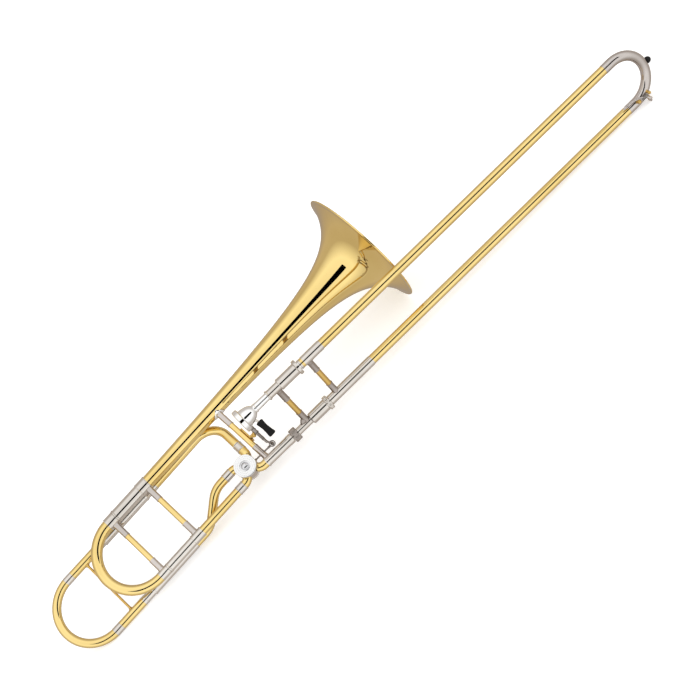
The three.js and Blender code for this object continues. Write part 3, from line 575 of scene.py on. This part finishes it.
def make_f_legs():
    upper = [
        (-272, 7.1), (-272, 8.1), (-271.5, 8.4), (-269.6, 8.4), (-269, 7.95), (-178, 7.9), (-177.4, 8.6),
        (-174, 8.6), (-173.4, 7.9), (-172.8, 7.6), (-151.2, 7.6), (-151.2, 7.1),
    ]
    at = (F_UPPER_V, F_Z)
    lathe("f_leg_upper", upper, BELL, NICKEL, "bell_section", ["f_outer_leg_upper"], at)
    lower = [
        (-272, 7.1), (-272, 8.1), (-271.5, 8.4), (-269.6, 8.4), (-269, 7.95), (-173.8, 7.9),
        (-173, 7.5), (-173, 7.1),
    ]
    at = (F_LOWER_V, F_Z)
    lathe("f_leg_lower", lower, BELL, NICKEL, "bell_section", ["f_outer_leg_lower"], at)


# ---------- bell brace and thumb lever ----------

def make_bell_brace():
    body = "bell_section"
    nodes = ["bell_brace_lower", "bell_brace_tube", "bell_brace_upper"]
    crossbar("bell_brace", BELL, 0, 8, 112, (33, 86), 5.2, body, nodes, NICKEL_WARM, BRASS)


def make_bell_flange():
    """The thin diamond-shaped flange that holds the brace to the bell, wrapped round its stem."""
    length = 23
    long_steps = 24
    round_steps = 16
    rim_height = 0.25
    height = 0.9
    bm = bmesh.new()
    grid = []
    for i in range(long_steps + 1):
        u = -length / 2 + length * i / long_steps
        half = math.radians(60) * (1 - abs(u) / 12) ** 0.85
        line = []
        for k in range(round_steps + 1):
            turn = -math.pi / 2 + half * (2 * k / round_steps - 1)
            on_rim = i in (0, long_steps) or k in (0, round_steps)
            r = bell_radius(BELL_RIM_U - u) + (rim_height if on_rim else height)
            line.append(bm.verts.new((u, BELL_V + r * math.sin(turn), r * math.cos(turn))))
        grid.append(line)
    for one, two in zip(grid, grid[1:]):
        for k in range(round_steps):
            bm.faces.new((one[k], one[k + 1], two[k + 1], two[k]))
    bmesh.ops.solidify(bm, geom=bm.faces[:], thickness=0.5)
    finish_mesh("bell_flange", bm, BELL, PLATE, "bell_section")


def make_lever_bracket():
    """The plate on the bell brace, its post and the barrel that the lever turns in."""
    body = "bell_section"
    plate = [(-14, -4.2), (-13, -5), (13, -5), (14, -4.2), (14, 4.2), (13, 5), (-13, 5), (-14, 4.2)]
    upright = Matrix(((0, 0, 1, 0), (1, 0, 0, 0), (0, 1, 0, 0), (0, 0, 0, 1)))
    place = BELL @ Matrix.Translation((4.6, 55, 0)) @ upright
    slab("lever_plate", plate, 2.8, place, BRASS_DEEP, body, ["lever_bracket"], bevel=0.7)
    arm = [(0, 0), (0, 3.4), (1.5, 2.9), (7, 2.5), (9, 3.0), (9, 0)]
    lathe("lever_post", arm, along(BELL, (7, 47, 1.5), (16, 47, 5)), BRASS_DEEP, body, sides=32)
    barrel = [
        (0, 2.3), (0, 3.6), (0.6, 4.1), (1.4, 4.1), (2.0, 3.5), (4, 3.3), (6, 3.5), (6.6, 4.1),
        (7.4, 4.1), (8, 3.6), (8, 2.3),
    ]
    lathe("lever_barrel", barrel, along(BELL, (LEVER_U, 43, LEVER_Z), (LEVER_U, 51, LEVER_Z)), STEEL, body)
    ball("lever_post_knob", (12.2, 44.5, 4), 3.4, BELL, BRASS_DEEP, body)


def make_lever():
    """The lever's shaft, spring, crank arm with its ball, and the bent tail that carries the pad."""
    body = "thumb_lever"
    shaft = [
        (0, 0), (0, 1.6), (0.5, 2.2), (22.2, 2.2), (30.9, 2.2), (31.0, 3.4), (32, 3.7), (35, 3.7),
        (35.8, 3.0), (36.2, 1.4), (36.2, 0),
    ]
    line = along(BELL, (LEVER_U, 20.3, LEVER_Z), (LEVER_U, 60, LEVER_Z))
    lathe("lever_rod", shaft, line, STEEL, body, ["lever_shaft"], sides=40)
    low = (LEVER_U, 27, LEVER_Z)
    high = (LEVER_U, 42, LEVER_Z)
    spiral("lever_spring", low, high, 2.5, 0.28, 12, BELL, STEEL, body)
    arm = [(0, 0), (0, 1.9), (24, 1.5), (29, 1.3), (29, 0)]
    line = along(BELL, (LEVER_U, LEVER_BALL_V, LEVER_Z), LEVER_BALL)
    lathe("lever_arm", arm, line, STEEL, body, sides=24)
    ball("lever_ball", LEVER_BALL, 3.0, BELL, STEEL, body)
    tail = bent([(LEVER_U, 53, LEVER_Z), (21, 58, 8.5), (31.5, 59.5, 10.8), (33, 47, 10.6)], [4, 5])
    sweep("lever_tail", tail, 1.8, 0, BELL, NICKEL, body, sides=24)
    seat = [(-3, -12), (3, -12), (3.6, 0), (3, 13), (-3, 13), (-3.6, 0)]
    slab("paddle_seat", seat, 1.6, BELL @ Matrix.Translation((33.1, 35, 10.7)), NICKEL, body, bevel=0.4)


def make_thumb_pad():
    """A black pad with a narrow waist and round ends."""
    steps = 60
    half = 16
    end_start = 12.5
    outline = []
    for k in range(steps + 1):
        v = -half + 2 * half * k / steps
        waist = 5.0 + 1.7 * (abs(v) / half) ** 2
        round_end = math.sqrt(max(0.0, 1 - max(0.0, (abs(v) - end_start) / (half - end_start)) ** 2.4))
        width = (waist + (0.25 if v < 0 else 0.0)) * (0.45 + 0.55 * round_end)
        outline.append((width, v))
    corners = outline + [(-w, v) for w, v in reversed(outline)]
    place = BELL @ Matrix.Translation((33.1, 35, 12.4))
    slab("thumb_pad", corners, 3.3, place, RUBBER, "thumb_lever", ["thumb_paddle"], bevel=0.9)


def make_link():
    """The rod from the lever's ball to the rotor's pin, with a ring at one end and a slotted eye."""
    body = "linkage"
    x, y, z = LEVER_BALL
    ring = [(-1.5, 3.8), (-1.5, 4.9), (-1.1, 5.3), (1.1, 5.3), (1.5, 4.9), (1.5, 3.8)]
    lathe("link_socket", ring, along(BELL, LEVER_BALL, (x, y, z + 1)), STEEL, body)
    start = (x - 4.7, y, z)
    end = (STOP_PIN[0] + 3.8, STOP_PIN[1], z)
    length = span(start, end)
    rod = [
        (0, 0), (0, 2.0), (5, 2.0), (5.4, 1.5), (length - 6, 1.5), (length - 5.6, 2.1),
        (length, 2.1), (length, 0),
    ]
    lathe("link_bar", rod, along(BELL, start, end), STEEL, body, ["link_rod"], sides=32)
    slot_top = ROTOR_V + STOP_ARM_REACH
    slot_radius = 2.5
    eye_radius = 4.3
    half_depth = 1.4
    sides = 48
    rings = []
    for radius, level in (
        (slot_radius, z - half_depth), (eye_radius, z - half_depth),
        (eye_radius, z + half_depth), (slot_radius, z + half_depth),
    ):
        loop = []
        for k in range(sides):
            turn = 2 * math.pi * k / sides
            centre = slot_top if math.sin(turn) > 0 else STOP_PIN[1]
            loop.append((STOP_PIN[0] + radius * math.cos(turn), centre + radius * math.sin(turn), level))
        rings.append(loop)
    finish_mesh("link_eye", ring_mesh(rings, True), BELL, STEEL, body)


# ---------- tuning slides ----------

def make_main_tuning_slide():
    body = "main_tuning_slide"
    upper = beaded(-246, -228.5, 10.9, 9.0, 0.3)[:-1] + [(-228.5, 9.72), (-166, 9.72), (-166, 9.0)]
    lathe("tuning_inner_upper", upper, BELL, NICKEL, body, ["main_inner_leg_upper"], (BELL_V, 0))
    lower = beaded(-246, -228.5, 8.0, 6.5, 0.3)[:-1] + [(-228.5, 7.12), (-166, 7.12), (-166, 6.5)]
    lathe("tuning_inner_lower", lower, BELL, NICKEL, body, ["main_inner_leg_lower"], (MAIN_V, 0))
    path = bow(MAIN_BOW_U + 1.5, MAIN_BOW_U, BELL_V, MAIN_V)
    sweep("tuning_bow", path, 9.7, 8.9, BELL, BRASS, body, ["main_bow"], end_outer=7.9, sides=64)
    nodes = ["main_bow_brace"]
    crossbar("tuning_brace", BELL, -237, 11.3, 114.4, (32.5, 89), 5.2, body, nodes, NICKEL_WARM, BRASS)


def make_f_tuning_slide():
    body = "f_tuning_slide"
    for side, v in (("upper", F_UPPER_V), ("lower", F_LOWER_V)):
        node = [f"f_inner_leg_{side}"]
        pipe(f"f_inner_{side}", -291, -180, 7.0, 6.4, BELL, NICKEL, body, node, (v, F_Z))
        band = beaded(-358, -343, 7.45, 7.3, 0.1)
        lathe(f"f_bow_ferrule_{side}", band, BELL, NICKEL, body, (), (v, F_Z))
        end = beaded(-294, -288, 7.4, 7.0, 0.15)
        lathe(f"f_bow_collar_{side}", end, BELL, NICKEL, body, (), (v, F_Z))
    path = bow(-289, F_BOW_U, F_UPPER_V, F_LOWER_V, F_Z)
    sweep("f_bow_tube", path, BRANCH_RADIUS, BRANCH_BORE, BELL, BRASS, body, ["f_bow"], sides=56)
    inset = 6.5
    low = F_LOWER_V + inset
    high = F_UPPER_V - inset
    line = along(BELL, (-316, low, F_Z), (-316, high, F_Z))
    length = high - low
    stay = [
        (0, 0), (0, 4.2), (1.2, 4.0), (2.4, 2.6), (5, 2.1), (length - 5, 2.1), (length - 2.4, 2.6),
        (length - 1.2, 4.0), (length, 4.2), (length, 0),
    ]
    lathe("f_bow_stay", stay, line, BRASS_DEEP, body, ["f_bow_brace"], sides=32)


# ---------- hand slide ----------

def make_inner_slide():
    body = "inner_slide"
    top = (SPACING, 0)
    pipe("slide_tenon_tube", -186, -109.8, 6.35, 5.6, LYING, NICKEL, body, ["slide_tenon"])
    receiver = [
        (-134, 6.5), (-134, 8.1), (-133.5, 8.6), (-131.4, 8.6), (-130.8, 7.8), (-129, 7.4),
        (-109.6, 7.3), (-109.6, 6.5),
    ]
    lathe("mouthpiece_socket", receiver, SLIDE, NICKEL, body, ["mouthpiece_receiver"], top)
    upper = [
        (-109.5, 7.65), (-109.5, 9.0), (-109.0, 9.6), (-107.8, 10.1), (-106.8, 10.1), (-106.2, 9.9),
        (-73.2, 9.9), (-72.8, 10.4), (-72.6, 12.2), (-71.8, 13), (-68, 13), (-66.9, 12.4),
        (-66.6, 11.4), (-66.6, 8.6), (-100, 8.6), (-101, 7.65),
    ]
    lathe("cork_barrel_top", upper, SLIDE, NICKEL, body, ["cork_barrel_upper"], top)
    lower = [
        (-109.5, 7.65), (-109.5, 8.0), (-108.4, 9.4), (-107.0, 9.9), (-106.0, 9.9), (-76.4, 9.9),
        (-75.8, 9.5), (-75.8, 8.6), (-100, 8.6), (-101, 7.65),
    ]
    lathe("cork_barrel_bottom", lower, SLIDE, NICKEL, body, ["cork_barrel_lower"])
    for name, node, at in (
        ("inner_slide_top", "inner_tube_upper", top),
        ("inner_slide_bottom", "inner_tube_lower", (0, 0)),
    ):
        stocking = [
            (-109, 6.9), (-109, 7.25), (440, 7.25), (442, 7.4), (591.6, 7.4), (592, 7.2), (592, 6.9),
        ]
        lathe(name, stocking, SLIDE, PLATE, body, [node], at)
    nodes = ["inner_brace_lower", "inner_brace_tube", "inner_brace_upper"]
    crossbar("inner_brace", SLIDE, -115.4, 7.2, 81, (26.2, 58.6), 5.3, body, nodes, NICKEL_DULL, BRASS_DEEP)
    foot = [(0, 0), (0, 5.8), (4, 5.2), (9, 2.6), (12, 0.8), (12, 0)]
    lathe("inner_brace_toe", foot, along(SLIDE, (-117, 9, 0), (-128, 4.5, 0)), NICKEL_DULL, body, sides=32)


def make_slide_rings():
    """The knurled nut that holds the slide in its receiver, and the ring that locks the outer slide."""
    nut = [
        (-149.6, 6.42), (-149.6, 10.2), (-148.8, 11.2), (-147.4, 11.5), (-147.2, 11.3), (-140, 11.3),
        (-139.8, 11.5), (-138.4, 11.2), (-137.6, 10.2), (-137.6, 6.42),
    ]
    wave = knurl(36, 0.22, -147.3, -139.9)
    lathe("lock_nut_knurled", nut, SLIDE, NICKEL_DULL, "slide_nut", ["lock_nut"], sides=288, wave=wave)
    ring = [
        (-75.5, 7.55), (-75.5, 11.6), (-75.0, 12.3), (-74.0, 12.6), (-73.8, 12.3), (-70, 12.3),
        (-69.8, 12.6), (-68.8, 12.3), (-68.2, 11.6), (-68.2, 7.55),
    ]
    wave = knurl(40, 0.2, -73.9, -69.9)
    lathe("lock_ring", ring, SLIDE, NICKEL, "slide_lock", ["slide_lock_ring"], sides=320, wave=wave)


def make_outer_slide():
    body = "outer_slide"
    top = (SPACING, 0)
    end = TUBE_END_X + 2
    outer = SLIDE_TUBE_RADIUS
    bore = SLIDE_TUBE_BORE
    pipe("outer_slide_top", -65, end, outer, bore, SLIDE, BRASS, body, ["outer_tube_upper"], top)
    pipe("outer_slide_bottom", -67.6, end, outer, bore, SLIDE, BRASS, body, ["outer_tube_lower"])
    cuff = beaded(-65.2, -61.5, 8.1, outer, 0.15)
    lathe("outer_slide_lip", cuff, SLIDE, NICKEL, body, (), top)
    for name, x0, x1, node, at in (
        ("sleeve_top", -57.4, -19, "sleeve_upper", top),
        ("sleeve_bottom", -67.8, 24.7, "sleeve_lower", (0, 0)),
    ):
        sleeve = [(x0, outer), (x0, 8.3), (x0 + 0.4, 8.5), (x1 - 2.5, 8.5), (x1, 8.05), (x1, outer)]
        lathe(name, sleeve, SLIDE, NICKEL, body, [node], at)
    nodes = ["hand_brace_lower", "hand_brace_tube", "hand_brace_upper"]
    crossbar("hand_brace", SLIDE, -50.5, 8.6, 79.9, (26, 59.3), 5.2, body, nodes, NICKEL_DULL, BRASS_DEEP)
    path = bow(TUBE_END_X - 1, CROOK_X, SPACING, 0)
    sweep("slide_crook_tube", path, 8.3, 7.9, SLIDE, NICKEL_WARM, body, ["slide_crook"], sides=64)
    tip = CROOK_X + SPACING / 2 + 8.0
    bumper = [
        (tip, 0), (tip, 5.0), (tip + 1.2, 5.6), (tip + 3.2, 5.6), (tip + 5.2, 5.0), (tip + 7.0, 3.7),
        (tip + 8.2, 2.0), (tip + 8.7, 0),
    ]
    lathe("bumper_rubber", bumper, SLIDE, RUBBER, body, ["slide_bumper"], (SPACING / 2, 0))


def nipple_height():
    """The y and z of the crook's middle line where the water-key nipple stands on it."""
    turn = math.asin((NIPPLE_X - CROOK_X) / (SPACING / 2))
    rise = SPACING / 2 * (1 - math.cos(turn))
    return rise * math.cos(SLIDE_ANGLE), rise * math.sin(SLIDE_ANGLE)


def make_water_key_posts():
    """The nipple on the crook, and the two posts that hold the water key's pin."""
    body = "outer_slide"
    y, z = nipple_height()
    spout = [(6, 0), (6, 4.2), (8.2, 4.0), (9.2, 3.1), (y + 10.6, 2.9), (y + 11, 2.5), (y + 11, 0)]
    line = along(LYING, (NIPPLE_X, y, z), (NIPPLE_X, y - 1, z))
    lathe("water_key_nipple", spout, line, BRASS_DEEP, body, ["water_key_bracket"], sides=32)
    for name, x, base in (("near", 616, (616, -2.5, 3.5)), ("far", 637.5, (637.5, 0.5, 7.5))):
        tip = (x, *KEY_PIVOT)
        length = span(base, tip)
        post = [(0, 0), (0, 4.4), (3, 3.4), (5, 2.4), (length - 2.5, 2.1), (length, 2.2), (length, 0)]
        lathe(f"water_key_post_{name}", post, along(LYING, base, tip), BRASS_DEEP, body, sides=32)
        ball(f"water_key_knob_{name}", tip, 3.1, LYING, BRASS_DEEP, body)
    pin = [(0, 0), (0, 1.8), (1, 2.0), (2, 1.2), (25.4, 1.2), (26, 0.8), (26, 0)]
    line = along(LYING, (613.6, *KEY_PIVOT), (640, *KEY_PIVOT))
    lathe("water_key_pin", pin, line, STEEL, body, sides=24)


def make_water_key():
    """The sprung lever with its thumb tab on one side and the corked cup on the other."""
    body = "water_key"
    z = nipple_height()[1]
    barrel = [(0, 1.3), (0, 2.3), (0.5, 2.7), (14.2, 2.7), (14.8, 2.3), (14.8, 1.3)]
    line = along(LYING, (619.3, *KEY_PIVOT), (634.1, *KEY_PIVOT))
    lathe("water_key_barrel", barrel, line, NICKEL, body, ["water_key_lever"], sides=32)
    spiral("water_key_spring", (620, *KEY_PIVOT), (633.4, *KEY_PIVOT), 3.3, 0.4, 10, LYING, STEEL, body)
    thumb = bent([(624, -7.5, 13.5), (615, -1, 13.4), (605, 1.0, 13.4), (594, 1.4, 13.5)], [12, 14])
    sweep("water_key_arm", thumb, 2.3, 0, LYING, NICKEL_WARM, body, end_outer=1.5, sides=24)
    ball("water_key_tab", (597, 1.4, 13.5), 1, LYING, NICKEL_WARM, body, squash=(9, 2.5, 1.2))
    hook = bent([(630, -8.5, 12.5), (632.5, -15.6, 9.5), (634, -15.6, z - 2.6)], [5])
    sweep("water_key_hook", hook, 1.8, 0, LYING, NICKEL_WARM, body, sides=24)
    cup = [(0, 0), (0, 3.6), (0.5, 4.1), (2.2, 4.1), (2.2, 3.4), (1.2, 3.3), (1.2, 0)]
    line = along(LYING, (NIPPLE_X, -14.8, z), (NIPPLE_X, -10, z))
    lathe("water_key_cup", cup, line, NICKEL, body, sides=32)
    pad = [(0, 0), (0, 3.3), (2.0, 3.5), (2.4, 3.0), (2.4, 0)]
    line = along(LYING, (NIPPLE_X, -13.5, z), (NIPPLE_X, -10, z))
    lathe("water_key_cork", pad, line, CORK, body, ["water_key_pad"], sides=32)


def make_mouthpiece():
    outline = [
        (-191.6, 15.2), (-192, 16.4), (-192.1, 17.6), (-191.8, 18.8), (-191, 19.6), (-190, 19.8),
        (-185.4, 19.8), (-184.2, 19.5), (-183.4, 18.6), (-183.1, 17), (-182.9, 15.2), (-182, 14.7),
        (-179, 14.5), (-176, 14.1), (-173, 13.5), (-170, 12.6), (-167.5, 11.5), (-165, 9.9),
        (-163, 8.2), (-161.6, 7.0), (-161, 6.9), (-160.6, 7.5), (-158.8, 7.5), (-158.2, 6.9),
        (-150, 6.6), (-134.4, 6.3), (-112, 5.8), (-112, 5.1), (-134, 4.2), (-154, 3.4),
        (-160, 3.4), (-163, 4.4), (-166, 6.2), (-169, 8.0), (-173, 10), (-178, 11.6),
        (-183, 12.6), (-188, 13.1), (-190.4, 13.9),
    ]
    lathe("mouthpiece_body", outline, SLIDE, PLATE, "mouthpiece", ["mouthpiece"], (SPACING, 0), sides=96)


def finish_rotor():
    """The rotor keeps its CAD shape and takes the polished nickel."""
    for material_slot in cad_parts["rotor_plug"].material_slots:
        material_slot.material = NICKEL


# ---------- stage, light and camera ----------

def flat_sheet(name, corners, material):
    """A four-cornered stage sheet, given in metres."""
    mesh = bpy.data.meshes.new(name)
    mesh.from_pydata(corners, [], [(0, 1, 2, 3)])
    mesh.materials.append(material)
    sheet = bpy.data.objects.new(name, mesh)
    bpy.context.scene.collection.objects.link(sheet)
    return sheet


def unlit_black(name):
    """A surface that gives no light back at all."""
    material, nodes, links = new_material(name)
    nodes.remove(nodes["Principled BSDF"])
    light = nodes.new("ShaderNodeEmission")
    light.inputs["Color"].default_value = (0, 0, 0, 1)
    light.inputs["Strength"].default_value = 0.0
    links.new(light.outputs["Emission"], nodes["Material Output"].inputs["Surface"])
    return material


def make_floor():
    """A pale floor that the polished tubes don't mirror; they mirror the studio round it instead."""
    material, nodes, _ = new_material("pale_floor")
    shader = nodes["Principled BSDF"]
    shader.inputs["Base Color"].default_value = (0.86, 0.86, 0.86, 1)
    shader.inputs["Roughness"].default_value = 0.9
    shader.inputs["Specular IOR Level"].default_value = 0.1
    shader.inputs["Emission Color"].default_value = (1, 1, 1, 1)
    shader.inputs["Emission Strength"].default_value = 0.45
    reach = 6.0
    corners = [(-reach, -reach, 0), (reach, -reach, 0), (reach, reach, 0), (-reach, reach, 0)]
    floor = flat_sheet("floor", corners, material)
    floor.visible_glossy = False


# The camera faces the plane of the bell section, leaning 19 degrees away from the bell's side and
# 4 degrees towards the tuning slides. SLIDE_SLOPE is how steeply the slide crosses the picture.
TARGET = Vector((11, 37.2, 0))
DISTANCE = 2350
VIEW_SIDE = math.radians(3.9)
VIEW_TIP = math.radians(19)
SLIDE_SLOPE = math.radians(44.22)
FLAG_DISTANCE = 1500


def view_axes():
    """The camera's right, up and back directions in the instrument's own axes."""
    x = -math.sin(VIEW_SIDE)
    y = -math.sin(VIEW_TIP)
    back = Vector((x, y, math.sqrt(1 - x * x - y * y)))
    slide = Vector((1, 0, 0))
    slide = (slide - back * slide.dot(back)).normalized()
    down = slide.cross(back).normalized()
    right = slide * math.cos(SLIDE_SLOPE) + down * math.sin(SLIDE_SLOPE)
    up = slide * math.sin(SLIDE_SLOPE) - down * math.cos(SLIDE_SLOPE)
    return right, up, back


def make_camera():
    bpy.context.scene.view_settings.view_transform = "Standard"
    right, up, back = view_axes()
    place = Matrix.Translation(TARGET + back * DISTANCE)
    turn = Matrix((right, up, back)).transposed().to_4x4()
    pose = LYING @ place @ turn
    pose.translation = TO_METRES @ pose.translation
    data = bpy.data.cameras.new("camera")
    data.sensor_width = 36
    data.lens = 76.5
    data.clip_end = 50
    camera = bpy.data.objects.new("camera", data)
    camera.matrix_world = pose
    bpy.context.scene.collection.objects.link(camera)
    bpy.context.scene.camera = camera


def make_studio():
    """A white tent on the camera's side, which falls off to warm grey on the far side."""
    world = bpy.data.worlds.new("studio")
    world.use_nodes = True
    nodes = world.node_tree.nodes
    links = world.node_tree.links
    front = (LYING.to_3x3() @ view_axes()[2]).normalized()
    coords = nodes.new("ShaderNodeTexCoord")
    facing = nodes.new("ShaderNodeVectorMath")
    facing.operation = "DOT_PRODUCT"
    facing.inputs[1].default_value = front
    links.new(coords.outputs["Generated"], facing.inputs[0])
    level = nodes.new("ShaderNodeMapRange")
    level.inputs["From Min"].default_value = -1.0
    level.inputs["From Max"].default_value = 1.0
    links.new(facing.outputs["Value"], level.inputs["Value"])
    tent = nodes.new("ShaderNodeValToRGB")
    stops = (
        (0.00, (0.38, 0.33, 0.30)),
        (0.10, (0.54, 0.48, 0.44)),
        (0.22, (0.66, 0.60, 0.55)),
        (0.46, (0.64, 0.59, 0.55)),
        (0.60, (0.92, 0.90, 0.88)),
        (0.76, (1.25, 1.25, 1.25)),
        (1.00, (1.12, 1.12, 1.12)),
    )
    ramp_stops = tent.color_ramp.elements
    while len(ramp_stops) < len(stops):
        ramp_stops.new(0.5)
    for stop, (place, colour) in zip(ramp_stops, stops):
        stop.position = place
        stop.color = (*colour, 1)
    links.new(level.outputs["Result"], tent.inputs["Fac"])
    background = nodes["Background"]
    links.new(tent.outputs["Color"], background.inputs["Color"])
    background.inputs["Strength"].default_value = 1.0
    bpy.context.scene.world = world


def make_slit():
    """A long black flag parallel to the slide, which the camera sees past and the metal mirrors.

    It draws the dark line along every tube.
    """
    back = view_axes()[2]
    slide = Vector((1, 0, 0))
    down = slide.cross(back).normalized()
    middle = TARGET + back * FLAG_DISTANCE
    dark = unlit_black("dark_slit")
    half = 330
    ends = (-1500, 1800)
    corners = []
    for end, side in ((0, -half), (1, -half), (1, half), (0, half)):
        point = middle + slide * ends[end] + down * side
        corners.append(tuple(TO_METRES @ (LYING @ point)))
    slit = flat_sheet("dark_slit", corners, dark)
    slit.visible_camera = False
    slit.visible_shadow = False
    slit.visible_diffuse = False


make_bell()
make_fixed_legs()
make_leg_brace()
make_valve()
make_stop_arm()
make_main_branch()
make_crossover_branch()
make_neck_branch()
make_receiver()
make_f_legs()
make_bell_brace()
make_bell_flange()
make_lever_bracket()
make_lever()
make_thumb_pad()
make_link()
make_main_tuning_slide()
make_f_tuning_slide()
make_inner_slide()
make_slide_rings()
make_outer_slide()
make_water_key_posts()
make_water_key()
make_mouthpiece()
finish_rotor()
make_floor()
make_camera()
make_studio()
make_slit()
